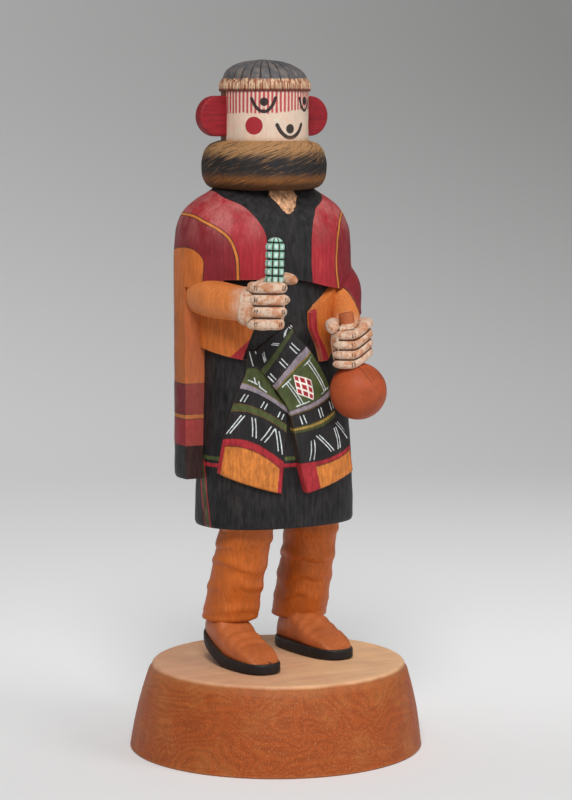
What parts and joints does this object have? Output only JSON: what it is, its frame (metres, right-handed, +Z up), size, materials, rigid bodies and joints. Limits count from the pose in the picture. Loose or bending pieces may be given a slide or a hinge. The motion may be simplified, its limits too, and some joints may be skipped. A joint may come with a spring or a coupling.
{
  "type": "kachina doll",
  "caption": "Carved and painted wooden kachina doll with shawl, sash, rattle and cactus, standing on a round wooden plinth.",
  "frame": {"origin": "centre of the plinth's underside", "axes": "+Z up; the doll faces -Y, and its own left is at +X"},
  "size_m": [0.1335, 0.1335, 0.3113],
  "materials": {
    "base": "stained, satin",
    "figure": "painted, matt",
    "ear_right": "painted, matt",
    "ear_left": "painted, matt",
    "cactus": "painted, matt",
    "rattle": "painted, satin"
  },
  "bodies": {
    "root": {"base": "base", "figure": "figure", "ear_right": "ear_right", "ear_left": "ear_left", "cactus": "cactus", "rattle": "rattle"}
  },
  "joints": []
}
